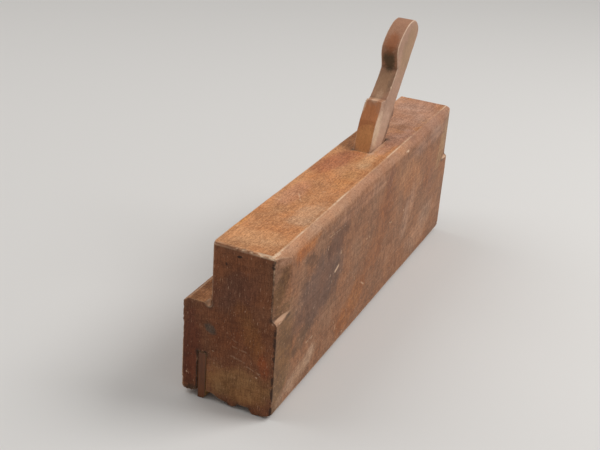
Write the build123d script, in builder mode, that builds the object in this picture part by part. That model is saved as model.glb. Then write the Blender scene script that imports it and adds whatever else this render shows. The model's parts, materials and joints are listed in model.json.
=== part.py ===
# Wooden moulding plane: beech stock with a let-in boxwood strip, a beech wedge and a tapered iron.
# Millimetres. The toe faces -Y, the blind side +X, the shoulder and the shaving opening -X, up is +Z.
# The origin is on the bench, under the middle of the stock.

import os
from math import cos, radians, sin, tan

from build123d import *

# Stock
body_length = 241.3
body_width = 47.7
body_height = 83.7
shoulder_height = 52.0
shoulder_width = 11.7

# Worked edges of the stock
blind_round_across = 4.0
blind_round_down = 6.1
blind_round_bow = 1.0
step_chamfer_across = 2.4
step_chamfer_down = 4.0
shoulder_chamfer_across = 2.5
shoulder_chamfer_down = 1.8
top_end_chamfer = 1.0
toe_chamfer_across = 2.8
toe_chamfer_along = 12.6
heel_chamfer_across = 1.6
heel_chamfer_along = 10.0
chamfer_stop_height = 52.4
chamfer_stop_slope = 32.0
gouge_radius = 1.85
gouge_depth = 1.6
gouge_slope = 14.0

# Sole, widths measured inwards from the blind side and heights up from the bench
foot_round_across = 7.2
foot_round_up = 2.8
foot_round_bow = 0.7
foot_width = 10.4
foot_lean = 2.0
flat_height = 2.6
flat_width = 5.3
bead_width = 5.8
bead_bow = 1.5
bead_far_height = 1.5
slope_width = 4.3
slope_far_height = 2.6
cove_bow = 0.6
cove_far_height = 4.5
stop_inner_height = 3.6
stop_slope_width = 3.5
stop_height = 2.0
stop_corner_across = 1.5
stop_corner_up = 1.6

# Boxwood strip, let in beside the cove
boxing_inset = 34.9
boxing_width = 4.0
boxing_height = 25.1
boxing_bevel_across = 1.3
boxing_bevel_up = 1.0
glue_line = 0.4

# Bed, mouth and the opening for the shavings
bed_pitch = 52.5
bed_from_toe = 97.1
mouth_gap = 1.3
breast_pitch = 72.0
throat_inset = 10.85
blade_room = 0.6
shoulder_room = 1.4
eye_ahead_of_iron = 8.3
eye_height = 31.0
eye_inner_radius = 6.5
eye_outer_radius = 11.5

# Mortise for the wedge
mortise_inset = 14.0
mortise_width = 10.0
mortise_bottom = 33.0
mortise_rear_relief = 2.2
mortise_rear_relief_down = 3.0

# Iron
blade_thickness = 5.0
iron_taper = 0.75
iron_length = 125.4
blade_width = 28.5
blade_length = 40.0
blade_side_gap = 0.6
tang_width = 9.4
tang_side_gap = 0.3
tang_shoulder_length = 6.0
tang_end_round = 1.5
bevel_angle = 29.25
edge_setback = 0.3
bed_gap = 0.05

# Wedge. Its carved end is measured along its back from the stock's top, square out from its back,
# and by how far each stretch bows out from a straight line.
wedge_side_gap = 0.05
wedge_gap = 0.05
wedge_taper = 15.75
wedge_depth_at_top = 19.2
wedge_tip_thickness = 2.0
chin = (4.4, 20.2, 0.3)
ridge_front = (15.9, 21.5, -0.2)
ridge_back = (19.2, 16.2, 0)
notch = (38.4, 14.0, -0.9)
nose_low = (42.2, 19.7, 0)
nose_front = (47.0, 23.4, 0.6)
brow = (59.3, 20.8, 0.8)
crown = (68.9, 13.0, 0.8)
nape = (70.1, 3.0, 1.0)
back_end = (65.3, 0, 0.8)

# Places worked out from the sizes above
toe = -body_length / 2
heel = body_length / 2
blind_side = body_width / 2
step_side = -body_width / 2
grip_side = step_side + shoulder_width
boxing_near = blind_side - boxing_inset
boxing_far = boxing_near - boxing_width
slot_far = boxing_far - glue_line
mortise_near = blind_side - mortise_inset
mortise_far = mortise_near - mortise_width
throat_wall = blind_side - throat_inset
blade_near = throat_wall - blade_side_gap
blade_far = blade_near - blade_width
tang_far = mortise_far + tang_side_gap
bed_run = cos(radians(bed_pitch))
bed_rise = sin(radians(bed_pitch))
face_pitch = bed_pitch - iron_taper
front_pitch = face_pitch + wedge_taper
bed_start = toe + bed_from_toe
face_start = bed_start - blade_thickness / bed_rise
mouth_front = face_start - mouth_gap
beyond = 1.0


def bed_y(height):
    return bed_start + height / tan(radians(bed_pitch))


def face_y(height):
    return face_start + height / tan(radians(face_pitch))


wedge_back_at_top = face_y(body_height) - wedge_gap
wedge_front_at_top = wedge_back_at_top - wedge_depth_at_top
slot_depth = blade_thickness + blade_room
slot_front_at_eye = bed_y(eye_height) - slot_depth / bed_rise
eye_y = slot_front_at_eye - eye_ahead_of_iron


def draw(outline, place):
    # A closed line through an outline's points. The third number bows the stretch that ends there
    # to its left, and place moves each point.
    for start, end in zip(outline[-1:] + outline[:-1], outline):
        bow = end[2]
        if bow == 0:
            Line(place(start[0], start[1]), place(end[0], end[1]))
            continue
        run = end[0] - start[0]
        climb = end[1] - start[1]
        span = (run**2 + climb**2) ** 0.5
        middle_x = (start[0] + end[0]) / 2 - climb / span * bow
        middle_y = (start[1] + end[1]) / 2 + run / span * bow
        ThreePointArc(place(start[0], start[1]), place(middle_x, middle_y), place(end[0], end[1]))


def same_place(x, y):
    return (x, y)


def under_sole(plane, strip_height, place):
    # The space below the sole, as a face across the stock. strip_height is how high the line runs
    # where the boxwood strip stands.
    foot_edge = blind_side - foot_width
    flat_start = foot_edge - foot_lean
    bead_start = flat_start - flat_width
    bead_end = bead_start - bead_width
    slope_end = bead_end - slope_width
    stop_start = slot_far - stop_slope_width
    deep = -body_height / 5
    outline = [
        (blind_side, foot_round_up, 0),
        (blind_side - foot_round_across, 0, foot_round_bow),
        (foot_edge, 0, 0),
        (flat_start, flat_height, 0),
        (bead_start, flat_height, 0),
        (bead_end, bead_far_height, bead_bow),
        (slope_end, slope_far_height, 0),
        (boxing_near, cove_far_height, -cove_bow),
        (boxing_near, strip_height + boxing_bevel_up, 0),
        (boxing_near - boxing_bevel_across, strip_height, 0),
        (boxing_far, strip_height, 0),
        (slot_far, stop_inner_height, 0),
        (stop_start, stop_height, 0),
        (step_side + stop_corner_across, stop_height, 0),
        (step_side, stop_height + stop_corner_up, 0),
        (step_side - beyond, stop_height + stop_corner_up, 0),
        (step_side - beyond, deep, 0),
        (blind_side + beyond, deep, 0),
        (blind_side + beyond, foot_round_up, 0),
    ]
    with BuildSketch(plane) as below:
        with BuildLine():
            draw(outline, place)
        make_face()
    return below.sketch


def throat_section(plane):
    # The space ahead of the bed, from the mouth up to the eye and the iron's shoulders.
    slot_length = blade_length + tang_shoulder_length + shoulder_room
    slot_back = (bed_start + slot_length * bed_run, slot_length * bed_rise)
    slot_front = (slot_back[0] - slot_depth * bed_rise, slot_back[1] + slot_depth * bed_run)
    breast_run = cos(radians(breast_pitch))
    breast_rise = sin(radians(breast_pitch))
    breast_foot = (mouth_front - beyond * breast_run / breast_rise, -beyond)
    breast_top = (eye_y - eye_inner_radius * breast_rise, eye_height + eye_inner_radius * breast_run)
    top_of_eye = (eye_y, eye_height + eye_inner_radius)
    back_of_eye = (eye_y + eye_inner_radius, eye_height)
    with BuildSketch(plane) as section:
        with BuildLine():
            Polyline(
                back_of_eye,
                (slot_front_at_eye, eye_height),
                slot_front,
                slot_back,
                (bed_y(-beyond), -beyond),
                breast_foot,
                (mouth_front, 0),
                breast_top,
            )
            ThreePointArc(breast_top, top_of_eye, back_of_eye)
        make_face()
    return section.sketch


def corner_waste(corner_x, end_y, across, along, stop_height, stop_slope):
    # What a stopped chamfer takes off an upright corner, above the sloping cut at its foot.
    outward = 1 if corner_x > 0 else -1
    inner_x = corner_x - outward * across
    out_of_end = end_y + (beyond if end_y > 0 else -beyond)
    along_y = end_y - (along if end_y > 0 else -along)
    with BuildPart() as waste:
        with BuildSketch(Plane.XY.offset(stop_height - 2 * across)):
            with BuildLine():
                Polyline(
                    (inner_x, out_of_end),
                    (inner_x, end_y),
                    (corner_x, along_y),
                    (corner_x + outward * beyond, along_y),
                    (corner_x + outward * beyond, out_of_end),
                    close=True,
                )
            make_face()
        extrude(amount=body_height)
        stop_normal = (outward * sin(radians(stop_slope)), 0, cos(radians(stop_slope)))
        split(bisect_by=Plane(origin=(inner_x, end_y, stop_height), z_dir=stop_normal), keep=Keep.TOP)
    return waste.part


ends = [(toe, toe_chamfer_across, toe_chamfer_along), (heel, heel_chamfer_across, heel_chamfer_along)]

with BuildPart() as stock:
    # Cross-section, square at the sole until the moulding is cut
    with BuildSketch(Plane.XZ):
        with BuildLine():
            outline = [
                (blind_side, body_height - blind_round_down, 0),
                (blind_side - blind_round_across, body_height, -blind_round_bow),
                (grip_side + step_chamfer_across, body_height, 0),
                (grip_side, body_height - step_chamfer_down, 0),
                (grip_side, shoulder_height, 0),
                (step_side + shoulder_chamfer_across, shoulder_height, 0),
                (step_side, shoulder_height - shoulder_chamfer_down, 0),
                (step_side, 0, 0),
                (blind_side, 0, 0),
            ]
            draw(outline, same_place)
        make_face()
    extrude(amount=body_length / 2, both=True)
    top_ends = stock.faces().sort_by(Axis.Z)[-1].edges().filter_by(Axis.X)
    chamfer(top_ends, length=top_end_chamfer)

    # Stopped chamfers on the upright corners. On the step side a gouge dips into the shoulder.
    for end_y, across, along in ends:
        add(corner_waste(blind_side, end_y, across, along, chamfer_stop_height, chamfer_stop_slope),
            mode=Mode.SUBTRACT)
        add(corner_waste(grip_side, end_y, across, along, shoulder_height, 0), mode=Mode.SUBTRACT)
        inward = -1 if end_y > 0 else 1
        with BuildSketch(Plane.XZ.offset(-end_y)):
            with Locations((grip_side + across / 2, shoulder_height - gouge_depth + gouge_radius)):
                Circle(gouge_radius)
        gouge_run = (0, inward * cos(radians(gouge_slope)), sin(radians(gouge_slope)))
        extrude(amount=along, dir=gouge_run, mode=Mode.SUBTRACT)

    # Sole
    extrude(under_sole(Plane.XZ.offset(toe - beyond), cove_far_height, same_place),
            amount=body_length + 2 * beyond, mode=Mode.SUBTRACT)

    # Slot for the boxwood strip
    with BuildSketch(Plane.XZ):
        with BuildLine():
            Polyline(
                (boxing_near, -beyond),
                (boxing_near, boxing_height),
                (slot_far, boxing_height),
                (slot_far, -beyond),
                close=True,
            )
        make_face()
    extrude(amount=heel + beyond, both=True, mode=Mode.SUBTRACT)

    # Mouth and throat, open to the step side
    extrude(throat_section(Plane.YZ.offset(throat_wall)), amount=step_side - beyond - throat_wall,
            mode=Mode.SUBTRACT)

    # Eye, a cone that opens towards the step side
    flare = (eye_outer_radius - eye_inner_radius) / (mortise_near - step_side)
    with BuildSketch(Plane.XZ.offset(-eye_y)):
        with BuildLine():
            Polyline(
                (mortise_near, eye_height),
                (mortise_near, eye_height + eye_inner_radius),
                (step_side - beyond, eye_height + eye_outer_radius + flare * beyond),
                (step_side - beyond, eye_height),
                close=True,
            )
        make_face()
    revolve(axis=Axis((0, eye_y, eye_height), (1, 0, 0)), mode=Mode.SUBTRACT)

    # Mortise, between the bed behind and the wedge's slope in front
    mortise_front_at_top = wedge_front_at_top - wedge_gap
    mortise_depth = body_height - mortise_bottom
    rear_low = body_height - mortise_rear_relief_down
    with BuildSketch(Plane.YZ.offset(mortise_far)):
        with BuildLine():
            Polyline(
                (mortise_front_at_top - mortise_depth / tan(radians(front_pitch)), mortise_bottom),
                (mortise_front_at_top + beyond / tan(radians(front_pitch)), body_height + beyond),
                (bed_y(body_height) + mortise_rear_relief, body_height + beyond),
                (bed_y(body_height) + mortise_rear_relief, body_height),
                (bed_y(rear_low), rear_low),
                (bed_y(mortise_bottom), mortise_bottom),
                close=True,
            )
        make_face()
    extrude(amount=mortise_width, mode=Mode.SUBTRACT)


# The strip is let in whole, and the mouth cuts it in two
with BuildPart() as strip:
    with BuildSketch(Plane.XZ):
        with BuildLine():
            Polyline(
                (boxing_near, boxing_bevel_up),
                (boxing_near, boxing_height),
                (boxing_far, boxing_height),
                (boxing_far, 0),
                (boxing_near - boxing_bevel_across, 0),
                close=True,
            )
        make_face()
    extrude(amount=body_length / 2, both=True)
    extrude(throat_section(Plane.YZ.offset(throat_wall)), amount=step_side - throat_wall,
            mode=Mode.SUBTRACT)

with BuildPart() as boxing_toe:
    add(strip.solids().sort_by(Axis.Y)[0])

with BuildPart() as boxing_heel:
    add(strip.solids().sort_by(Axis.Y)[-1])


with BuildPart() as iron:
    # Side view, thickest at the edge
    top_height = iron_length * bed_rise
    low = -blade_thickness
    with BuildSketch(Plane.YZ.offset(blade_far)):
        with BuildLine():
            Polyline(
                (face_y(low), low),
                (face_y(top_height + blade_thickness), top_height + blade_thickness),
                (bed_y(top_height + blade_thickness) - bed_gap / bed_rise, top_height + blade_thickness),
                (bed_y(low) - bed_gap / bed_rise, low),
                close=True,
            )
        make_face()
    extrude(amount=blade_width)

    # Front view, drawn on the bed: blade, sloping shoulders and narrow tang
    bed = Plane(origin=(0, bed_start, 0), x_dir=(1, 0, 0), z_dir=(0, -bed_rise, bed_run))
    with BuildSketch(bed) as front_view:
        with BuildLine():
            Polyline(
                (blade_near, 2 * low),
                (blade_near, blade_length),
                (tang_far + tang_width, blade_length + tang_shoulder_length),
                (tang_far + tang_width, iron_length),
                (tang_far, iron_length),
                (tang_far, blade_length + tang_shoulder_length),
                (blade_far, blade_length),
                (blade_far, 2 * low),
                close=True,
            )
        make_face()
        fillet(front_view.vertices().sort_by(Axis.Y)[-2:], radius=tang_end_round)
    extrude(amount=2 * blade_thickness, both=True, mode=Mode.INTERSECT)

    # Cutting edge, ground back from the flat face so that it follows the sole and its boxwood strip
    relief = tan(radians(face_pitch - bevel_angle))
    rise = 1 - relief / tan(radians(face_pitch))

    def ground(x, height):
        return (x, (height + edge_setback) * rise)

    edge_plane = Plane.XZ.offset(-face_start)
    grind = (0, cos(radians(face_pitch - bevel_angle)), sin(radians(face_pitch - bevel_angle)))
    extrude(under_sole(edge_plane, 0, ground), amount=4 * blade_thickness, dir=grind, both=True,
            mode=Mode.SUBTRACT)


with BuildPart() as wedge:
    wedge_plane = Plane(
        origin=(mortise_far + wedge_side_gap, wedge_back_at_top, body_height),
        x_dir=(0, cos(radians(face_pitch)), sin(radians(face_pitch))),
        z_dir=(1, 0, 0),
    )
    front_at_top = (-wedge_depth_at_top * cos(radians(face_pitch)), wedge_depth_at_top * sin(radians(face_pitch)))
    tip = front_at_top[0] - (front_at_top[1] - wedge_tip_thickness) / tan(radians(wedge_taper))
    with BuildSketch(wedge_plane):
        with BuildLine():
            outline = [
                (tip, 0, 0),
                (tip, wedge_tip_thickness, 0),
                (front_at_top[0], front_at_top[1], 0),
                chin,
                ridge_front,
                ridge_back,
                notch,
                nose_low,
                nose_front,
                brow,
                crown,
                nape,
                back_end,
            ]
            draw(outline, same_place)
        make_face()
    extrude(amount=mortise_width - 2 * wedge_side_gap)


stock.part.label = "stock"
boxing_toe.part.label = "boxing_toe"
boxing_heel.part.label = "boxing_heel"
iron.part.label = "iron"
wedge.part.label = "wedge"

os.makedirs("parts", exist_ok=True)
export_step(stock.part, "parts/stock.step")
export_step(boxing_toe.part, "parts/boxing_toe.step")
export_step(boxing_heel.part, "parts/boxing_heel.step")
export_step(iron.part, "parts/iron.step")
export_step(wedge.part, "parts/wedge.step")
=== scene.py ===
import json
from math import atan2, ceil, radians

import bmesh
import bpy
import numpy as np
from mathutils import Matrix, Vector, kdtree, noise


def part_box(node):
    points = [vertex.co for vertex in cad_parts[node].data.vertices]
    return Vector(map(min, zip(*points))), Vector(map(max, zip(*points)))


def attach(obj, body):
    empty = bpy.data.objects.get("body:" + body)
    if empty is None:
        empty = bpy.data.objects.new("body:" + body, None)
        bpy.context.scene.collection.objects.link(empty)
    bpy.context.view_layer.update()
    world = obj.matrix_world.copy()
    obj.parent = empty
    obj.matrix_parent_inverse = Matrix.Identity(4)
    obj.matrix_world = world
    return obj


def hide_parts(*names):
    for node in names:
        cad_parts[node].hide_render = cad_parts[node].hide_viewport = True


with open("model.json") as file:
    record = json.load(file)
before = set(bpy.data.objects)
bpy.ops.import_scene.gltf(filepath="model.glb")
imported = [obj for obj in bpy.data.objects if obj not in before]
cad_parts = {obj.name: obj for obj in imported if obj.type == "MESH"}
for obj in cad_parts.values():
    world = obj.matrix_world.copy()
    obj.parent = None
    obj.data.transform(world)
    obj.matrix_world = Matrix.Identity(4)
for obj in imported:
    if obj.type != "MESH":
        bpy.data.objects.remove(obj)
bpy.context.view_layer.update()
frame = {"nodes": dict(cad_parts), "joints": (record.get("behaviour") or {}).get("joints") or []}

MM = 0.001
scene = bpy.context.scene

# Lengths and places below are millimetres in the part's own frame, unless a comment says metres.

STEP_SIDE, TOE = (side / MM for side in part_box("stock")[0][:2])
BLIND_SIDE, HEEL, TOP = (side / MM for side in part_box("stock")[1])
slides = {joint["name"]: Vector(joint["axis"]) for joint in frame["joints"]}
WEDGE_WAY = slides["wedge_slide"]
WEDGE_OUT = Vector((0, -WEDGE_WAY.z, WEDGE_WAY.y))
WEDGE_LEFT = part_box("wedge")[0][0] / MM
WEDGE_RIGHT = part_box("wedge")[1][0] / MM
# How far along the stock the wedge's back crosses its top
WEDGE_BACK_AT_TOP = 36.2


# Camera, at the photograph's viewing angle

CAMERA_PLACE = Vector((190.3, -491.4, 294.6)) * MM
CAMERA_TURN = radians(23.22)
CAMERA_TILT = radians(25.48)
CAMERA_ROLL = radians(4.26)
CAMERA_LENS = 64.3
CAMERA_SENSOR = 36.0


def place_camera():
    """The scene's camera, where the photograph was taken from."""
    view = bpy.data.cameras.new("studio_camera")
    view.sensor_fit = "HORIZONTAL"
    view.sensor_width = CAMERA_SENSOR
    view.lens = CAMERA_LENS
    view.clip_start = 0.01
    camera = bpy.data.objects.new("studio_camera", view)
    scene.collection.objects.link(camera)
    level = Matrix.Rotation(CAMERA_TURN, 4, "Z") @ Matrix.Rotation(radians(90) - CAMERA_TILT, 4, "X")
    camera.matrix_world = Matrix.Translation(CAMERA_PLACE) @ level @ Matrix.Rotation(CAMERA_ROLL, 4, "Z")
    scene.camera = camera


# Places on the pieces

def on_stock(face, along, up):
    """A place on a face of the stock: along and up a side, across and up an end, or across and
    along the top."""
    return {
        "blind": (BLIND_SIDE, along, up),
        "step": (STEP_SIDE, along, up),
        "toe": (along, TOE, up),
        "heel": (along, HEEL, up),
        "top": (along, up, TOP),
    }[face]


def on_wedge(across, up, out):
    """A place on the wedge: across it, up its back from the stock's top, and out from its back."""
    return Vector((across, WEDGE_BACK_AT_TOP, TOP)) + up * WEDGE_WAY + out * WEDGE_OUT


# Worn skins

# An edge that turns by more than SHARP is an arris or a corner, with a point on it every ARRIS_STEP.
# No distance from it is kept past FARTHEST, and rubbing reaches RUB_REACH cells of the skin.
SHARP = radians(18)
ARRIS_STEP = 0.5
FARTHEST = 6.0
RUB_REACH = 4
WELD = 0.001
BITE_GRAIN = 0.8
EVERY_AXIS = {"use_axis_x": True, "use_axis_y": True, "use_axis_z": True}
SKIN_MEASURES = ("arris", "corner", "rubbed", "bare")


def bake_modifiers(piece):
    """Applies the piece's modifiers to its mesh."""
    graph = bpy.context.evaluated_depsgraph_get()
    graph.update()
    mesh = bpy.data.meshes.new_from_object(piece.evaluated_get(graph))
    piece.modifiers.clear()
    piece.data = mesh


def arris_trees(shape):
    """Two trees of points: along a closed mesh's proud sharp edges, and along its hollow ones."""
    proud, hollow = [], []
    for edge in shape.edges:
        turn = edge.calc_face_angle_signed(0.0)
        if abs(turn) < SHARP:
            continue
        start, end = (v.co for v in edge.verts)
        steps = ceil(edge.calc_length() / (ARRIS_STEP * MM))
        (proud if turn > 0 else hollow).extend(start.lerp(end, i / steps) for i in range(steps + 1))
    trees = []
    for points in (proud, hollow):
        tree = kdtree.KDTree(len(points))
        for i, point in enumerate(points):
            tree.insert(point, i)
        tree.balance()
        trees.append(tree)
    return trees


def even_skin(node, cell):
    """A copy of a CAD node in small even faces, and the trees of its arrises."""
    mesh = frame["nodes"][node].data.copy()
    shape = bmesh.new()
    shape.from_mesh(mesh)
    bmesh.ops.remove_doubles(shape, verts=shape.verts, dist=WELD * MM)
    trees = arris_trees(shape)
    shape.to_mesh(mesh)
    shape.free()
    piece = bpy.data.objects.new("worn_" + node, mesh)
    scene.collection.objects.link(piece)
    skin = piece.modifiers.new("skin", "REMESH")
    skin.mode = "VOXEL"
    skin.voxel_size = cell * MM
    bake_modifiers(piece)
    return piece, trees


def gaps_to(tree, mesh):
    """How far each vertex is from the nearest point in the tree, no more than FARTHEST."""
    far = [tree.find(v.co)[2] for v in mesh.vertices]
    return np.minimum(np.array([FARTHEST if d is None else d / MM for d in far]), FARTHEST)


def noise_at(points, wave):
    """Smooth noise at each point, from about -1 to 1, with bumps one wave long."""
    return np.array([noise.noise(Vector(point) / wave) for point in points])


def noisy_share(points, share, waves):
    """A share from 0 to 1 at each point: one for all, and noise of each wave by its strength."""
    for wave, strength in waves:
        share = share + strength * noise_at(points, wave)
    return np.clip(share, 0, 1)


def from_line(points, start, end):
    """How far each point is from the straight line between two places."""
    start, end = np.array(start, float), np.array(end, float)
    run = end - start
    along = np.clip((points - start) @ run / max(run @ run, 1e-9), 0, 1)
    return np.linalg.norm(points - start - along[:, None] * run, axis=1)


def places_of(mesh):
    """The mesh's points, and the way each faces."""
    points = np.array([v.co[:] for v in mesh.vertices]) / MM
    return points, np.array([v.normal[:] for v in mesh.vertices])


def rub_arrises(mesh, near, soften, rub, wave):
    """Smooths a mesh all over, and rub times more near its arrises, in patches about a wave long.

    Returns how rubbed each point is, from 0 to 1.
    """
    points, _ = places_of(mesh)
    rubbed = np.zeros(len(points))
    rubbed[near] = noisy_share(points[near], 0.45, ((wave, 1.3), (wave / 5, 0.5)))
    rounds = soften + np.round(rub * rubbed)
    shape = bmesh.new()
    shape.from_mesh(mesh)
    shape.verts.ensure_lookup_table()
    for done in range(soften + rub):
        picked = [shape.verts[i] for i in np.flatnonzero(rounds > done)]
        bmesh.ops.smooth_vert(shape, verts=picked, factor=0.5, **EVERY_AXIS)
    shape.to_mesh(mesh)
    shape.free()
    return rubbed


def bite_into(points, out, bites):
    """Sinks ragged hollows into a surface, each from one place to another, to its reach and depth.

    Returns how fresh (1) or dirty (-1) they leave the wood at each point.
    """
    bare = np.zeros(len(points))
    for start, end, reach, depth, shade in bites:
        far = from_line(points, start, end) / reach
        bitten = np.flatnonzero(far < 1)
        ragged = noisy_share(points[bitten], 0.4, ((2.5 * reach, 1.2), (BITE_GRAIN, 0.6)))
        bite = ragged * (1 - far[bitten] ** 2)
        points[bitten] -= out[bitten] * (depth * bite)[:, None]
        bare[bitten] += shade * np.clip(2 * bite, 0, 1)
    return np.clip(bare, -1, 1)


def sink_faces(points, out, uneven):
    """Sinks a surface here and there, in waves of a length and a depth."""
    for wave, depth in uneven:
        points -= out * (depth * noisy_share(points, 0.5, ((wave, 0.8),)))[:, None]


def worn_copy(node, bites, cell, soften, rub, rub_wave, uneven, triangles):
    """A CAD node's shape with its arrises rubbed and chipped, and its faces a little uneven.

    The mesh holds how far each point is from a proud arris and from a hollow corner, how rubbed it
    is, and how fresh or dirty a bite has left it.
    """
    piece, (proud, hollow) = even_skin(node, cell)
    arris = gaps_to(proud, piece.data)
    corner = gaps_to(hollow, piece.data)
    rubbed = rub_arrises(piece.data, arris < RUB_REACH * cell, soften, rub, rub_wave)
    points, out = places_of(piece.data)
    bare = bite_into(points, out, bites)
    sink_faces(points, out, uneven)
    piece.data.vertices.foreach_set("co", (points * MM).ravel())

    for name, values in zip(SKIN_MEASURES, (arris, corner, rubbed, bare)):
        held = piece.data.attributes.new(name, "FLOAT", "POINT")
        held.data.foreach_set("value", values.astype(np.float32))
    thin = piece.modifiers.new("thin", "DECIMATE")
    thin.ratio = min(1, triangles / (2 * len(piece.data.polygons)))
    bake_modifiers(piece)
    piece.data.shade_smooth()
    piece.data.materials.clear()
    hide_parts(node)
    return piece


# Colour and nodes

# Settings of a Mix node for colours: its socket 0 is the share, and 6 and 7 are the two colours.
COLOURS = {"data_type": "RGBA", "out": 2}
MULTIPLIED = {**COLOURS, "blend_type": "MULTIPLY"}


def srgb(code):
    """A six-figure sRGB hex colour as the linear colour that a socket takes."""
    shown = [int(code[i:i + 2], 16) / 255 for i in (1, 3, 5)]
    linear = [c / 12.92 if c <= 0.04045 else ((c + 0.055) / 1.055) ** 2.4 for c in shown]
    return (*linear, 1.0)


def add(material, kind, fed=None, out=0, **settings):
    """Adds one node and returns the socket that comes out of it.

    fed gives each of its own sockets a value, or the socket that feeds it.
    """
    made = material.node_tree.nodes.new("ShaderNode" + kind)
    for name, value in settings.items():
        setattr(made, name, value)
    for socket, value in (fed or {}).items():
        if isinstance(value, bpy.types.NodeSocket):
            material.node_tree.links.new(value, made.inputs[socket])
        else:
            made.inputs[socket].default_value = value
    return made.outputs[out] if len(made.outputs) else None


def blank(name):
    """A new material with no nodes in it."""
    material = bpy.data.materials.new(name)
    material.use_nodes = True
    material.node_tree.nodes.clear()
    return material


def surface(m, fed):
    """The material's shader, fed as said, joined to its output."""
    add(m, "OutputMaterial", {"Surface": add(m, "BsdfPrincipled", fed)})
    return m


def in_mm(m):
    """The place on the piece, in millimetres."""
    return add(m, "VectorMath", {0: add(m, "TexCoord", out="Object"), "Scale": 1 / MM}, operation="SCALE")


def facing(m):
    """The way the surface faces on the piece, as three sockets."""
    return add(m, "SeparateXYZ", {0: add(m, "TexCoord", out="Normal")}).node.outputs


def turned(m, part, low, high):
    """How far the surface faces an axis, either way: 0 up to low, and 1 from high on."""
    part = add(m, "Math", {0: part}, operation="ABSOLUTE")
    return add(m, "MapRange", {"Value": part, "From Min": low, "From Max": high})


def swayed(m, place, wave, reach):
    """The place, pushed about by slow noise, so that straight grain wanders."""
    drift = add(m, "TexNoise", {"Vector": place, "Scale": 1 / wave, "Detail": 2.0}, out=1)
    fed = {0: drift, 1: (reach,) * 3, 2: (-reach / 2,) * 3}
    return add(m, "VectorMath", {0: place, 1: add(m, "VectorMath", fed, operation="MULTIPLY_ADD")})


def flecks(m, place, size, seed, low=0.3, high=0.7, lean=0.0, detail=2.0):
    """Noise stretched to a size in millimetres across, along and up, 0 at low and 1 at high."""
    fed = {"Vector": place, "Rotation": (lean, 0, 0), "Location": (7.3 * seed,) * 3}
    moved = add(m, "Mapping", {**fed, "Scale": tuple(1 / s for s in size)})
    value = add(m, "TexNoise", {"Vector": moved, "Scale": 1.0, "Detail": detail, "Roughness": 0.6})
    return add(m, "MapRange", {"Value": value, "From Min": low, "From Max": high})


def weighed(m, shares):
    """Several patterns as one, each by its share."""
    total = 0.0
    for pattern, share in shares:
        total = add(m, "Math", {0: pattern, 1: share, 2: total}, operation="MULTIPLY_ADD")
    return total


def patch(m, place, ragged, start, end, width, strength):
    """How far a soft patch about the line from start to end covers, up to its strength."""
    run = Vector(end) - Vector(start)
    fed = {
        "Vector": place,
        "Location": Vector(start) + run / 2,
        "Rotation": run.to_track_quat("X", "Z").to_euler() if run.length else (0, 0, 0),
        "Scale": (run.length / 2 + width, width, width),
    }
    near = add(m, "Mapping", fed, vector_type="TEXTURE")
    far = add(m, "VectorMath", {0: near}, out="Value", operation="LENGTH")
    far = add(m, "Math", {0: far, 1: ragged})
    edge = {"From Min": 0.5, "From Max": 1.15, "To Min": strength, "To Max": 0.0}
    return add(m, "MapRange", {"Value": far, **edge}, interpolation_type="SMOOTHSTEP")


def stained(m, colour, place, ragged, stains):
    """The colour under a list of soft patches."""
    for start, end, width, code, strength in stains:
        cover = patch(m, place, ragged, start, end, width, strength)
        colour = add(m, "Mix", {0: cover, 6: colour, 7: srgb(code)}, **COLOURS)
    return colour


def marked(m, place, ragged, marks):
    """Where any of a list of marks lies, as strong as the mark says."""
    total = 0.0
    for start, end, width, strength in marks:
        cover = patch(m, place, ragged, start, end, width, strength)
        total = add(m, "Math", {0: total, 1: cover}, operation="MAXIMUM")
    return total


def grown(m, place, pith, spacing):
    """Growth rings about a pith that runs along Y, as bands from 0 to 1."""
    across = add(m, "VectorMath", {0: place, 1: (1, 0, 1)}, operation="MULTIPLY")
    radius = add(m, "VectorMath", {0: across, 1: pith}, out="Value", operation="DISTANCE")
    count = add(m, "Math", {0: radius, 1: 1 / spacing}, operation="MULTIPLY")
    value = add(m, "TexNoise", {"W": count, "Scale": 1.0, "Detail": 3.0}, noise_dimensions="1D")
    return add(m, "MapRange", {"Value": value, "From Min": 0.3, "From Max": 0.7})


# Wear on the stock: patches of colour, nicks and bites

# Pale fresh wood: in bites, and along the arrises, where it also paints their highlight
FRESH_WOOD_AND_HIGHLIGHT = "#DDBC9C"
# Dark brown: dirt in dirty bites, and painted shade in hollow corners
DIRT_AND_SHADE = "#3A281E"
BARE = "#C49C7E"
# Painted highlight: the pale pink of the round between top and blind side, where it faces up towards the
# key lamp
ROUND_HIGHLIGHT = "#BD8D6C"

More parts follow.
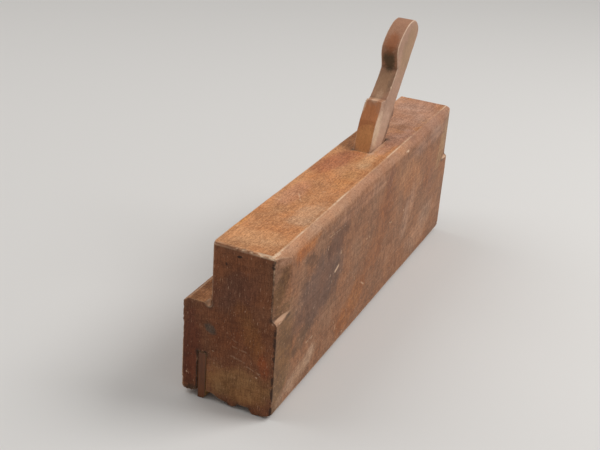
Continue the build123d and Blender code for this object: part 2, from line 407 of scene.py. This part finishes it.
STOCK_STAINS = [
    # Blind side: olive at the toe, a dark grey patch, orange above and behind it, a pale rear
    ("blind", (-119, 56), (-113, 74), 6, "#6C4A2C", 0.85),
    ("blind", (-119, 80), (-108, 79), 3, "#A87C60", 0.8),
    ("blind", (-117, 6), (-111, 46), 14, "#7A593A", 0.9),
    ("blind", (-86, 44), (-60, 52), 19, "#705344", 0.95),
    ("blind", (-62, 64), (-46, 68), 8, "#6C4A38", 0.8),
    ("blind", (-104, 77), (-80, 79), 5, "#B2703F", 0.85),
    ("blind", (-91, 71), (-82, 66), 4, "#664936", 0.8),
    ("blind", (-40, 12), (-16, 22), 10, "#9E643A", 0.85),
    ("blind", (-112, 7), (-72, 15), 6, "#AB866A", 0.85),
    ("blind", (-86, 12), (-79, 14), 4, "#BC9679", 0.7),
    ("blind", (-97, 27), (-89, 31), 6, "#6E523C", 0.7),
    ("blind", (-4, 30), (20, 66), 14, "#8E5B3A", 0.7),
    ("blind", (-60, 75), (22, 75), 5, "#A3775C", 0.55),
    ("blind", (52, 75), (116, 75), 6, "#A77F69", 0.6),
    ("blind", (14, 64), (18, 79), 4, "#7E5440", 0.7),
    ("blind", (38, 66), (62, 56), 12, "#A6734F", 0.85),
    ("blind", (46, 28), (60, 48), 8, "#AC846A", 0.55),
    ("blind", (64, 14), (96, 22), 12, "#AA8267", 0.7),
    ("blind", (84, 44), (80, 74), 7, "#925E3E", 0.7),
    ("blind", (90, 38), (92, 52), 5, "#835A44", 0.6),
    ("blind", (106, 56), (114, 72), 9, "#A2805F", 0.8),
    # Step side, which the photograph doesn't show
    ("step", (-96, 18), (-70, 30), 14, "#7C5A46", 0.7),
    ("step", (24, 8), (60, 22), 16, "#9C6C46", 0.6),
    ("step", (-20, 60), (40, 72), 12, "#7E5846", 0.6),
    ("step", (84, 64), (108, 30), 14, "#A47E66", 0.7),
    # Top: pale by the toe, redder ahead of the wedge, pink behind it
    ("top", (-4, -108), (14, -104), 9, "#C48E62", 0.8),
    ("top", (-11, -112), (-10, -84), 3, "#C6864A", 0.8),
    ("top", (12, -88), (15, -62), 7, "#C29673", 0.7),
    ("top", (-3, -66), (-2, -40), 6, "#BA8060", 0.6),
    ("top", (-4, -16), (2, 10), 8, "#A06040", 0.8),
    ("top", (13, -34), (13, -12), 5, "#BE8350", 0.6),
    ("top", (13, -4), (13, 12), 4, "#C29268", 0.7),
    ("top", (14, 20), (14.5, 34), 3.5, "#BC8D72", 0.7),
    ("top", (4, 70), (6, 116), 20, "#AE826A", 0.9),
    ("top", (-4, 62), (12, 66), 6, "#9A6A4C", 0.75),
    ("top", (-6, 96), (10, 100), 4, "#BC9078", 0.7),
    ("top", (13, 36), (16, 58), 8, "#AF8069", 0.85),
]
# Patches along that painted highlight on the round
ROUND_HIGHLIGHT_PATCHES = [
    ((22, -34, 80), (22, 26, 80), 14, "#AB7E63", 0.8),
    ((22, 48, 80), (22, HEEL, 80), 14, "#A0755F", 0.9),
]
# The shoulder below the grip: its own darker orange-brown, and painted shade from the grip
SHOULDER_STAIN_AND_SHADE = [((-19, TOE, 52), (-19, HEEL, 52), 8, "#885126", 1.0)]
END_STAINS = [
    ("toe", (-20, 10), (-19, 44), 7, "#663623", 0.95),
    ("toe", (-4, 56), (8, 66), 9, "#6A4231", 0.7),
    ("toe", (6, 52), (15, 34), 6, "#81522E", 0.8),
    ("toe", (-2, 12), (16, 14), 11, "#8F643D", 0.9),
    ("toe", (-4, 34), (4, 48), 8, "#744024", 0.7),
    ("toe", (19, 22), (18, 32), 3, "#8A4626", 0.6),
    ("toe", (-20, 2), (-14, 2), 4, "#4C3826", 0.8),
    ("toe", (-11, 40), (-8, 38), 2.6, "#4C4840", 0.7),
    ("toe", (3.2, 79.6), (4.8, 79.7), 0.6, "#2A1A14", 0.9),
    ("toe", (-2.6, 75), (-2.2, 73.8), 0.5, "#2A1A14", 0.9),
    ("heel", (-4, 20), (6, 40), 14, "#70482F", 0.7),
    ("heel", (4, 60), (14, 72), 9, "#845A38", 0.7),
    ("heel", (-19, 14), (-18, 36), 6, "#623C28", 0.7),
]

# Bare wood: where the chamfers run out in a gouge stop, on both ends of the blind side and at the foot
# of the grip, and along the mortise's rim
BARE_PLACES = [
    ((21.6, TOE, 50.8), (23.6, -107, 52.2), 1.15, 1.0),
    ((21.6, HEEL, 51.0), (23.6, 111, 52.4), 1.2, 0.95),
    ((-10.8, TOE, 51.0), (-12.2, -116.5, 52.8), 1.2, 0.8),
    ((10.2, 14, TOP), (10.2, 37, TOP), 2.3, 0.9),
]

# What the arrises show where they aren't pale: dirt down the toe, and brown wood elsewhere
DULL_ARRISES = [
    ((22.5, TOE, 0), (22.5, TOE, 76), 3.5, "#33221A", 0.95),
    ((-24, TOE, 0), (24, TOE, 0), 4, "#5E3E28", 0.9),
    ((-13, TOE, 0), (-13, TOE, 26), 4, "#3E281A", 1.0),
    ((-12.2, TOE, 52), (-12.2, TOE, 78), 3, "#5E3E2A", 0.9),
    ((-22, TOE, 52), (-13, TOE, 52), 2, "#7E5636", 0.8),
    ((20.5, -121, 80.5), (23.85, -104, 77), 3.4, "#94694E", 1.0),
    ((-12, TOE, TOP), (3, TOE, TOP), 2.2, "#A87C5E", 0.85),
    ((STEP_SIDE, TOE, 52), (STEP_SIDE, HEEL, 52), 2.2, "#9A6C48", 0.8),
    ((18.5, 50, TOP), (18, HEEL, TOP), 3, "#96684C", 0.85),
]

# Bites are face, from, to, reach, depth, and how fresh (1) or dirty (-1) the wood in them is.

STOCK_BITES = [
    ("toe", (13, TOP), (20, TOP), 1.6, 1.0, 1.4),
    ("toe", (2, TOP), (11, TOP), 1.0, 0.4, 0.8),
    ("toe", (-12, TOP), (-5, TOP), 1.3, 0.6, 1.2),
    ("top", (19.6, -119), (20.4, -112), 1.2, 0.6, 1.2),
    ("toe", (-24, 0), (-18, 0), 3.2, 1.6, -0.5),
    ("toe", (-24, 1), (-24, 12), 1.5, 0.5, 0.4),
    ("toe", (-24, 30), (-24, 46), 1.0, 0.4, 0.5),
    ("toe", (3, 0), (10, 0), 1.8, 0.6, 0),
    ("toe", (-15.5, 1), (-15.5, 25), 0.8, 0.3, -1.6),
    ("toe", (-15, 25.4), (-11.4, 25.4), 0.7, 0.15, -0.8),
    ("toe", (20.5, 79), (21, 81), 1.3, 0.3, -1.0),
    ("toe", (18, 0), (24, 0), 2.2, 0.8, -0.4),
    ("toe", (23.4, 2), (23.4, 50), 0.9, 0.25, -1.3),
    ("toe", (21.2, 54), (20.8, 78), 1.2, 0.35, -0.6),
    ("blind", (-119, 66), (-118, 72), 1.0, 0.25, 0.8),
    ("heel", (20, 2), (24, 3), 2.6, 1.2, 0.4),
    ("heel", (-13, TOP), (-6, TOP), 1.8, 0.8, 0.3),
    ("heel", (6, TOP), (16, TOP), 1.4, 0.5, 0.4),
    ("blind", (112, 0), (HEEL, 0), 1.8, 0.7, 0.2),
    ("blind", (-72, 0), (-66, 0), 1.3, 0.5, 0.2),
    ("step", (70, 52), (84, 52), 1.4, 0.6, 0.5),
    ("step", (-60, 52), (-54, 52), 1.2, 0.5, 0.5),
    ("step", (-70, 0), (-64, 0), 1.6, 0.6, 0),
]

# Nicks are face, from, to, half width, and how pale, and all are NICK_DEPTH deep.

NICK_DEPTH = 0.3
STOCK_NICKS = [
    ("blind", (-56, 48), (-51, 50), 0.9, 0.7),
    ("blind", (-49.3, 58), (-48.8, 56), 0.7, 0.5),
    ("blind", (-68, 64.5), (-65.5, 66.5), 0.6, 0.45),
    ("blind", (-17, 25), (-11, 21), 0.6, 0.6),
    ("blind", (-120, 70), (-119, 68), 0.9, 0.8),
    ("blind", (-82, 22), (-78, 23), 0.6, 0.45),
    ("blind", (-51.5, 18.5), (-48, 12), 0.5, 0.45),
    ("blind", (-62, 50), (-57, 43), 1.1, 0.3),
    ("blind", (-66, 71.5), (-46, 70), 0.45, 0.4),
    ("blind", (40, 80), (45, 80), 0.9, 0.8),
    ("blind", (22, 44), (27, 42.5), 0.6, 0.5),
    ("blind", (62, 28.5), (65, 30.5), 0.9, 0.6),
    ("blind", (4, 73), (8.5, 74), 0.6, 0.45),
    ("blind", (-67, 67), (-66, 64), 0.5, 0.6),
    ("blind", (-87, 57.6), (-85.6, 58.6), 0.5, 0.5),
    ("blind", (-85.5, 23.4), (-78, 23.6), 0.5, 0.5),
    ("blind", (-108.8, 27.6), (-108.4, 28), 0.5, 0.7),
    ("blind", (-79.6, 39.4), (-77.8, 40.4), 0.5, 0.5),
    ("blind", (-36.6, 46), (-33.4, 37.4), 0.45, 0.4),
    ("blind", (-27.5, 33.4), (-25.2, 29.6), 0.45, 0.45),
    ("blind", (-38.2, 5), (-37.8, 5.4), 0.6, 0.8),
    ("blind", (-17, 49), (-7.4, 48), 0.45, 0.35),
    ("blind", (70.5, 50), (79.5, 50.6), 0.5, 0.45),
    ("blind", (58.4, 63), (59.2, 64), 0.6, 0.5),
    ("blind", (45, 42.4), (46, 43), 0.7, 0.5),
    ("blind", (25, 43), (25.6, 43.6), 0.6, 0.5),
    ("top", (-2, -81), (-1, -78.5), 0.8, 0.6),
    ("top", (0.5, -53), (4.5, -60), 0.5, 0.6),
    ("top", (8, -45), (10.5, -43.5), 0.6, 0.5),
    ("top", (-7, -64), (-4, -64), 0.8, 0.45),
    ("top", (-8.6, -102), (-8.5, -100), 0.8, 0.5),
    ("toe", (13.4, 21.6), (15.4, 20.5), 0.5, 0.6),
    ("toe", (-7.6, 27.7), (-7.2, 27.5), 0.45, 0.5),
    ("toe", (-8.2, 23.4), (-6.8, 21.2), 0.45, 0.3),
    ("toe", (0.2, 49.6), (2.7, 51.4), 0.4, 0.3),
    ("toe", (-21.5, 12.4), (-21.1, 12), 0.5, 0.6),
    ("toe", (0.5, 33.6), (9.4, 32.2), 0.6, 0.25),
    ("toe", (1.4, 28.2), (9.0, 26.4), 0.6, 0.22),
    ("toe", (8.6, 25.2), (16.8, 22.8), 0.6, 0.25),
    ("toe", (-0.4, 37.4), (5, 35.8), 0.6, 0.2),
    ("step", (-84, 30), (-78, 34), 0.8, 0.5),
    ("step", (12, 12), (18, 10), 0.6, 0.5),
    ("step", (66, 66), (70, 62), 0.7, 0.5),
]

# Marks on the wedge, as across, up and out

WEDGE_FRONT_STAINS_AND_SHADOW = [
    ((5, -4, 18), (5, 10, 21), 9, "#B27044", 0.95),
    ((5, -9, 16), (5, -3, 18), 6.5, "#DC9C62", 0.7),
    ((5, 16, 21.5), (5, 18, 20), 2.5, "#CFA98C", 0.8),
    ((WEDGE_LEFT, 8, 21), (WEDGE_LEFT, 17, 21), 1.3, "#D6B496", 0.7),
    ((4, 22, 16), (5, 35, 14), 6, "#9A7456", 0.9),
    ((5, 19, 18), (5, 23, 17), 2.8, "#BA967A", 0.7),
    ((8.8, 24, 16), (8.6, 34, 15), 2.2, "#6E5240", 0.5),
    # Painted shadow: dark under the nose, in the notch
    ((5, 39.2, 15.4), (5, 43.5, 20.5), 4, "#5A4630", 0.95),
    ((5, 46.5, 23), (5, 53, 23), 4.5, "#955A36", 0.9),
]
WEDGE_SIDE_STAINS = [
    ((WEDGE_RIGHT, -4, 6), (WEDGE_RIGHT, 12, 8), 9, "#C6A088", 0.85),
    ((WEDGE_RIGHT, -6, 14), (WEDGE_RIGHT, 8, 17), 5, "#D6B698", 0.8),
    ((WEDGE_RIGHT, 44, 8), (WEDGE_RIGHT, 62, 8), 8, "#A2805F", 0.7),
]
WEDGE_BITES = [
    ((WEDGE_LEFT, 16, 21), (WEDGE_LEFT, 19, 19), 2.4, 1.2, 1),
    ((WEDGE_RIGHT, 27, 15), (WEDGE_RIGHT, 29, 15), 1.0, 0.4, 1),
]


# How each piece is worn: the skin's cell, rounds of smoothing all over and then along the arrises, how long
# the rubbed patches are, the waves and depths of its unevenness, and how many triangles it keeps

STOCK_SKIN = {"cell": 0.45, "soften": 2, "rub": 5, "rub_wave": 14, "uneven": ((38, 0.12), (7, 0.05)),
              "triangles": 190000}
BOXING_SKIN = {"cell": 0.3, "soften": 1, "rub": 3, "rub_wave": 8, "uneven": ((20, 0.05),),
               "triangles": 30000}
WEDGE_SKIN = {"cell": 0.3, "soften": 2, "rub": 6, "rub_wave": 10, "uneven": ((22, 0.08), (5, 0.04)),
              "triangles": 80000}
IRON_SKIN = {"cell": 0.3, "soften": 1, "rub": 3, "rub_wave": 8, "uneven": ((12, 0.05), (3, 0.03)),
             "triangles": 60000}


def stock_places(entries, faces=("blind", "step", "top", "toe", "heel")):
    """The entries on the named faces, with both ends as places on the stock."""
    return [(on_stock(face, *start), on_stock(face, *end), *rest) for face, start, end, *rest in entries
            if face in faces]


def wedge_places(entries):
    """The entries with both ends as places on the wedge."""
    return [(on_wedge(*start), on_wedge(*end), *rest) for start, end, *rest in entries]


# Materials

def stock_colour(m, place, ragged, ways, endways, round_highlight):
    """The stained colour of the stock's sides, top and end grain, with a painted highlight on the round
    between top and blind side, and the shoulder darkened partly by painted shade.
    """
    side = stained(m, srgb("#926649"), place, ragged, stock_places(STOCK_STAINS, ("blind", "step")))
    top_stains_and_shade = stock_places(STOCK_STAINS, ("top",)) + SHOULDER_STAIN_AND_SHADE
    top = stained(m, srgb("#B87E52"), place, ragged, top_stains_and_shade)
    end = stained(m, srgb("#784A30"), place, ragged, stock_places(END_STAINS))
    rounded = stained(m, srgb(ROUND_HIGHLIGHT), place, ragged, ROUND_HIGHLIGHT_PATCHES)
    up = add(m, "MapRange", {"Value": ways["Z"], "From Min": 0.45, "From Max": 0.9})
    colour = add(m, "Mix", {0: up, 6: side, 7: top}, **COLOURS)
    colour = add(m, "Mix", {0: round_highlight, 6: colour, 7: rounded}, **COLOURS)
    return add(m, "Mix", {0: endways, 6: colour, 7: end}, **COLOURS)


def weathered_stock_with_painted_light(m, colour, place, ragged, quick, measured):
    """The stock's colour with its bare places, pale arrises with a painted highlight along them, painted
    shade in its hollow corners, and bites.
    """
    spots = marked(m, place, ragged, BARE_PLACES)
    colour = add(m, "Mix", {0: spots, 6: colour, 7: srgb(BARE)}, **COLOURS)
    arris_pale_and_highlight = stained(m, srgb(FRESH_WOOD_AND_HIGHLIGHT), place, ragged, DULL_ARRISES)
    # Pale rubbed wood along the proud arrises, which also paints their highlight
    line = add(m, "MapRange", {"Value": measured["arris"], "From Min": 0.7, "From Max": 0.15})
    rub_and_highlight = weighed(m, [(measured["rubbed"], 0.7), (quick, 0.45), (1.0, -0.04)])
    line = add(m, "Math", {0: line, 1: rub_and_highlight}, operation="MULTIPLY", use_clamp=True)
    colour = add(m, "Mix", {0: line, 6: colour, 7: arris_pale_and_highlight}, **COLOURS)
    # Painted shade: darker towards hollow corners
    corner_shade = add(m, "MapRange", {"Value": measured["corner"], "From Min": 2.4, "From Max": 0.2, "To Max": 0.75})
    corner_shade = add(m, "Math", {0: corner_shade, 1: spots}, operation="SUBTRACT", use_clamp=True)
    colour = add(m, "Mix", {0: corner_shade, 6: colour, 7: srgb(DIRT_AND_SHADE)}, **COLOURS)
    for sign, code in ((1, FRESH_WOOD_AND_HIGHLIGHT), (-1, DIRT_AND_SHADE)):
        edge = {"From Min": 0.1 * sign, "From Max": 0.8 * sign, "To Max": 0.85}
        bitten = add(m, "MapRange", {"Value": measured["bare"], **edge})
        colour = add(m, "Mix", {0: bitten, 6: colour, 7: srgb(code)}, **COLOURS)
    return colour


def aged_beech():
    """Beech, quartered, planed by hand, oiled and browned by hands. Its rays show as upright flecks on the
    sides and short dashes on the top, its end grain drinks dirt, and its arrises rub pale, with a painted
    highlight along them. The round between top and blind side has a painted highlight, and painted shade
    darkens its hollow corners."""
    m = blank("hand_planed_beech")
    place = in_mm(m)
    bent = swayed(m, place, 40, 3)
    ways = facing(m)
    endways = turned(m, ways["Y"], 0.5, 0.8)
    # The round between top and blind side, facing up and out, takes a painted highlight
    slanted = add(m, "Math", {0: ways["X"], 1: ways["Z"]}, operation="MULTIPLY")
    round_highlight = add(m, "MapRange", {"Value": slanted, "From Min": 0.18, "From Max": 0.42, "To Max": 0.8})
    slow = flecks(m, place, (9, 9, 9), 1, 0.0, 1.0, detail=3.0)
    quick = flecks(m, place, (1.3, 1.3, 1.3), 2, 0.0, 1.0)
    ragged = weighed(m, [(slow, 1.1), (quick, 0.6), (1.0, -0.85)])
    colour = stock_colour(m, place, ragged, ways, endways, round_highlight)

    # Real rays are 0.15 mm thick, fibres finer still and pores 0.06 mm across. A pixel of the render
    # is about 0.5 mm, so all of them are drawn about that coarse.
    cloud = flecks(m, bent, (8, 18, 14), 3, lean=radians(-12), detail=3.0)
    rays = flecks(m, bent, (0.7, 2.2, 4.6), 4, lean=radians(-10))
    mottle = flecks(m, place, (2.4, 2.4, 2.4), 9, detail=4.0)
    fibre = flecks(m, bent, (0.6, 22, 0.7), 5)
    speck = flecks(m, place, (0.7, 0.7, 0.7), 11, 0.35, 0.65)
    rings = grown(m, bent, (20, 0, -160), 2.6)
    shares = [(cloud, 0.18), (rays, 0.22), (mottle, 0.12), (fibre, 0.14), (rings, 0.08), (quick, 0.08),
              (speck, 0.18)]
    grain = add(m, "MapRange", {"Value": weighed(m, shares), "From Min": 0.35, "From Max": 0.65})
    calm = add(m, "Math", {0: round_highlight, 1: 0.6}, operation="MULTIPLY")
    grain = add(m, "Mix", {0: calm, 2: grain, 3: 0.5})
    shade = add(m, "Mix", {0: grain, 6: (0.68, 0.62, 0.55, 1), 7: (1.30, 1.36, 1.42, 1)}, **COLOURS)
    colour = add(m, "Mix", {0: 1.0, 6: colour, 7: shade}, **MULTIPLIED)
    hue = flecks(m, place, (16, 18, 20), 6)
    tint = add(m, "Mix", {0: hue, 6: (1.06, 0.97, 0.88, 1), 7: (0.95, 1.03, 1.12, 1)}, **COLOURS)
    colour = add(m, "Mix", {0: 1.0, 6: colour, 7: tint}, **MULTIPLIED)
    pores = flecks(m, bent, (0.5, 1.6, 1.2), 7, 0.59, 0.71)
    pores = add(m, "Math", {0: pores, 1: 0.5}, operation="MULTIPLY")
    colour = add(m, "Mix", {0: pores, 6: colour, 7: srgb("#5A3826")}, **COLOURS)
    pale = flecks(m, bent, (0.6, 1.4, 2.0), 8, 0.63, 0.73)
    pale = add(m, "Math", {0: pale, 1: 0.45}, operation="MULTIPLY")
    colour = add(m, "Mix", {0: pale, 6: colour, 7: srgb("#CDA283")}, **COLOURS)

    measured = {name: add(m, "Attribute", out="Fac", attribute_name=name) for name in SKIN_MEASURES}
    colour = weathered_stock_with_painted_light(m, colour, place, ragged, quick, measured)
    height = weighed(m, [(rays, 0.4), (fibre, 0.35), (quick, 0.5), (pores, -0.5)])
    bump = add(m, "Bump", {"Height": height, "Strength": 0.6, "Distance": 0.08 * MM})
    roughness = weighed(m, [(grain, 0.12), (endways, 0.14), (measured["rubbed"], -0.1), (1.0, 0.56)])
    return surface(m, {"Base Color": colour, "Roughness": roughness, "Normal": bump, "IOR": 1.5,
                       "Specular IOR Level": 0.28})


def boxwood_strip():
    """Boxwood, set in on end: dense, with no rays to see, gone toffee brown, smoother than the beech."""
    m = blank("polished_boxwood")
    place = in_mm(m)
    bent = swayed(m, place, 30, 2)
    endways = turned(m, facing(m)["Y"], 0.5, 0.8)
    cloud = flecks(m, bent, (3, 14, 8), 1, detail=3.0)
    # The real lines are finer than a pixel, and are drawn as wide as one.
    lines = flecks(m, bent, (0.5, 3, 12), 2)
    grain = weighed(m, [(cloud, 0.6), (lines, 0.4)])
    long_grain = add(m, "Mix", {0: grain, 6: srgb("#8E6238"), 7: srgb("#B48A54")}, **COLOURS)
    end = add(m, "Mix", {0: grain, 6: srgb("#582D11"), 7: srgb("#7A4520")}, **COLOURS)
    colour = add(m, "Mix", {0: endways, 6: long_grain, 7: end}, **COLOURS)
    arris = add(m, "Attribute", out="Fac", attribute_name="arris")
    line = add(m, "MapRange", {"Value": arris, "From Min": 0.7, "From Max": 0.1, "To Max": 0.5})
    colour = add(m, "Mix", {0: line, 6: colour, 7: srgb(DIRT_AND_SHADE)}, **COLOURS)
    bump = add(m, "Bump", {"Height": grain, "Strength": 0.4, "Distance": 0.05 * MM})
    roughness = weighed(m, [(grain, 0.15), (1.0, 0.4)])
    return surface(m, {"Base Color": colour, "Roughness": roughness, "Normal": bump, "IOR": 1.5,
                       "Specular IOR Level": 0.45})


def wedge_beech():
    """Beech cut along the grain and whittled, paler than the stock: fingers keep its sides clean and
    its arrises pale, with a painted highlight along them, and painted shadow darkens the notch under the
    nose and its other hollow corners."""
    m = blank("whittled_beech")
    place = in_mm(m)
    turn = (atan2(WEDGE_WAY.z, WEDGE_WAY.y), 0, 0)
    grain_way = add(m, "Mapping", {"Vector": place, "Rotation": turn}, vector_type="TEXTURE")
    bent = swayed(m, grain_way, 30, 2)
    sideways = turned(m, facing(m)["X"], 0.4, 0.8)
    slow = flecks(m, place, (7, 7, 7), 1, 0.0, 1.0, detail=3.0)
    quick = flecks(m, place, (1.1, 1.1, 1.1), 2, 0.0, 1.0)
    ragged = weighed(m, [(slow, 1.0), (quick, 0.7), (1.0, -0.85)])
    front = stained(m, srgb("#9E7258"), place, ragged, wedge_places(WEDGE_FRONT_STAINS_AND_SHADOW))
    side = stained(m, srgb("#AA836C"), place, ragged, wedge_places(WEDGE_SIDE_STAINS))
    colour = add(m, "Mix", {0: sideways, 6: front, 7: side}, **COLOURS)

    # Fibres, rays and pores are drawn about a pixel wide, as on the stock.
    cloud = flecks(m, bent, (6, 18, 6), 3, detail=3.0)
    fibre = flecks(m, bent, (0.6, 12, 0.5), 4)
    rays = flecks(m, bent, (0.5, 2.0, 4.0), 5)
    grain = weighed(m, [(cloud, 0.4), (fibre, 0.2), (rays, 0.3), (quick, 0.1)])
    shade = add(m, "Mix", {0: grain, 6: (0.70, 0.66, 0.60, 1), 7: (1.26, 1.30, 1.34, 1)}, **COLOURS)
    colour = add(m, "Mix", {0: 1.0, 6: colour, 7: shade}, **MULTIPLIED)
    pores = flecks(m, bent, (0.7, 0.9, 0.7), 6, 0.62, 0.72)
    pores = add(m, "Math", {0: pores, 1: 0.45}, operation="MULTIPLY")
    colour = add(m, "Mix", {0: pores, 6: colour, 7: srgb("#6A4630")}, **COLOURS)

    measured = {name: add(m, "Attribute", out="Fac", attribute_name=name) for name in SKIN_MEASURES}
    # Pale rubbed wood along the wedge's arrises, strongest about the nose, which also paints their
    # highlight
    line = add(m, "MapRange", {"Value": measured["arris"], "From Min": 0.7, "From Max": 0.1})
    nose = patch(m, place, ragged, on_wedge(5, 44, 16), on_wedge(5, 62, 16), 14, 0.6)
    rub_and_highlight = weighed(m, [(measured["rubbed"], 0.35), (nose, 1.0), (1.0, 0.08)])
    line = add(m, "Math", {0: line, 1: rub_and_highlight}, operation="MULTIPLY", use_clamp=True)
    colour = add(m, "Mix", {0: line, 6: colour, 7: srgb("#E2C6AC")}, **COLOURS)
    # Painted shade: darker towards the wedge's hollow corners, the notch under the nose among them
    corner_shade = add(m, "MapRange", {"Value": measured["corner"], "From Min": 1.6, "From Max": 0.2, "To Max": 0.25})
    colour = add(m, "Mix", {0: corner_shade, 6: colour, 7: srgb(DIRT_AND_SHADE)}, **COLOURS)
    bitten = add(m, "MapRange", {"Value": measured["bare"], "From Min": 0.1, "From Max": 0.8, "To Max": 0.8})
    colour = add(m, "Mix", {0: bitten, 6: colour, 7: srgb(FRESH_WOOD_AND_HIGHLIGHT)}, **COLOURS)
    height = weighed(m, [(fibre, 0.4), (rays, 0.3), (quick, 0.5)])
    bump = add(m, "Bump", {"Height": height, "Strength": 0.5, "Distance": 0.06 * MM})
    roughness = weighed(m, [(grain, 0.15), (measured["rubbed"], -0.1), (1.0, 0.48)])
    return surface(m, {"Base Color": colour, "Roughness": roughness, "Normal": bump, "IOR": 1.5,
                       "Specular IOR Level": 0.3})


# Heights on the iron that its ground edge fades out between
GROUND_TOP = 5.0
GROUND_FULL = 2.5


def forged_iron():
    """Forged iron with a brown coat of old rust, lighter on its narrow sides where hands rub it, and a
    cutting edge ground bright on a stone."""
    m = blank("rusted_forged_iron")
    place = in_mm(m)
    rust = flecks(m, place, (4, 4, 4), 1, 0.35, 0.6, detail=4.0)
    pits = flecks(m, place, (0.8, 0.8, 0.8), 2, 0.55, 0.75)
    sideways = turned(m, facing(m)["X"], 0.4, 0.8)
    wide = add(m, "Mix", {0: rust, 6: srgb("#4C3E36"), 7: srgb("#77594A")}, **COLOURS)
    narrow = add(m, "Mix", {0: rust, 6: srgb("#7A5C4A"), 7: srgb("#A67C62")}, **COLOURS)
    colour = add(m, "Mix", {0: sideways, 6: wide, 7: narrow}, **COLOURS)
    pitted = add(m, "Math", {0: pits, 1: 0.5}, operation="MULTIPLY")
    colour = add(m, "Mix", {0: pitted, 6: colour, 7: srgb("#3A2A22")}, **COLOURS)
    up = add(m, "SeparateXYZ", {0: place}).node.outputs["Z"]
    ground = add(m, "MapRange", {"Value": up, "From Min": GROUND_TOP, "From Max": GROUND_FULL})
    # A stone's scratches are finer than a pixel, and are drawn nearly as wide as one.
    stone = flecks(m, place, (0.4, 6, 6), 3)
    steel = add(m, "Mix", {0: stone, 6: srgb("#7E7A76"), 7: srgb("#A6A29C")}, **COLOURS)
    colour = add(m, "Mix", {0: ground, 6: colour, 7: steel}, **COLOURS)
    height = weighed(m, [(rust, 0.5), (pits, -0.6)])
    bump = add(m, "Bump", {"Height": height, "Strength": 0.6, "Distance": 0.1 * MM})
    metallic = weighed(m, [(ground, 0.8), (1.0, 0.15)])
    roughness = weighed(m, [(rust, 0.2), (ground, -0.2), (1.0, 0.6)])
    return surface(m, {"Base Color": colour, "Metallic": metallic, "Roughness": roughness, "Normal": bump})


def painted_floor():
    """Flat pale paint, to stand the part on."""
    m = blank("matt_paint")
    return surface(m, {"Base Color": srgb("#D9D7D4"), "Roughness": 0.75})


# Floor and light, places in metres

FLOOR_SIZE = 12
WORLD_STRENGTH = 0.42
LAMPS_AIM = Vector((0, 0, 0.05))
LAMPS = (
    ("key", (0.70, 0.35, 1.00), 0.6, 9.5),
    ("fill", (-0.70, -0.10, 1.00), 0.9, 4.0),
)


def build_studio():
    """The floor, the air round it and the two lamps."""
    bpy.ops.mesh.primitive_plane_add(size=FLOOR_SIZE)
    floor = bpy.context.object
    floor.name = "studio_floor"
    floor.data.materials.append(painted_floor())
    world = bpy.data.worlds.new("studio_air")
    scene.world = world
    world.use_nodes = True
    background = world.node_tree.nodes["Background"]
    background.inputs["Color"].default_value = srgb("#F2F0EE")
    background.inputs["Strength"].default_value = WORLD_STRENGTH
    for name, place, size, power in LAMPS:
        lamp = bpy.data.lights.new(name, "AREA")
        lamp.size = size
        lamp.energy = power
        lit = bpy.data.objects.new(name, lamp)
        scene.collection.objects.link(lit)
        toward = LAMPS_AIM - Vector(place)
        lit.matrix_world = Matrix.Translation(place) @ toward.to_track_quat("-Z", "Y").to_matrix().to_4x4()


place_camera()
build_studio()
scene.view_settings.view_transform = "Standard"

nicks = [(start, end, width, NICK_DEPTH, pale) for start, end, width, pale in stock_places(STOCK_NICKS)]
boxwood = boxwood_strip()
for node, body, slot, material, bites, skin in (
    ("stock", "stock", "stock_beech", aged_beech(), stock_places(STOCK_BITES) + nicks, STOCK_SKIN),
    ("boxing_toe", "stock", "boxwood", boxwood, [], BOXING_SKIN),
    ("boxing_heel", "stock", "boxwood", boxwood, [], BOXING_SKIN),
    ("wedge", "wedge", "wedge_beech", wedge_beech(), wedge_places(WEDGE_BITES), WEDGE_SKIN),
    ("iron", "iron", "iron", forged_iron(), [], IRON_SKIN),
):
    piece = worn_copy(node, bites, **skin)
    piece.data.materials.append(material)
    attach(piece, body)
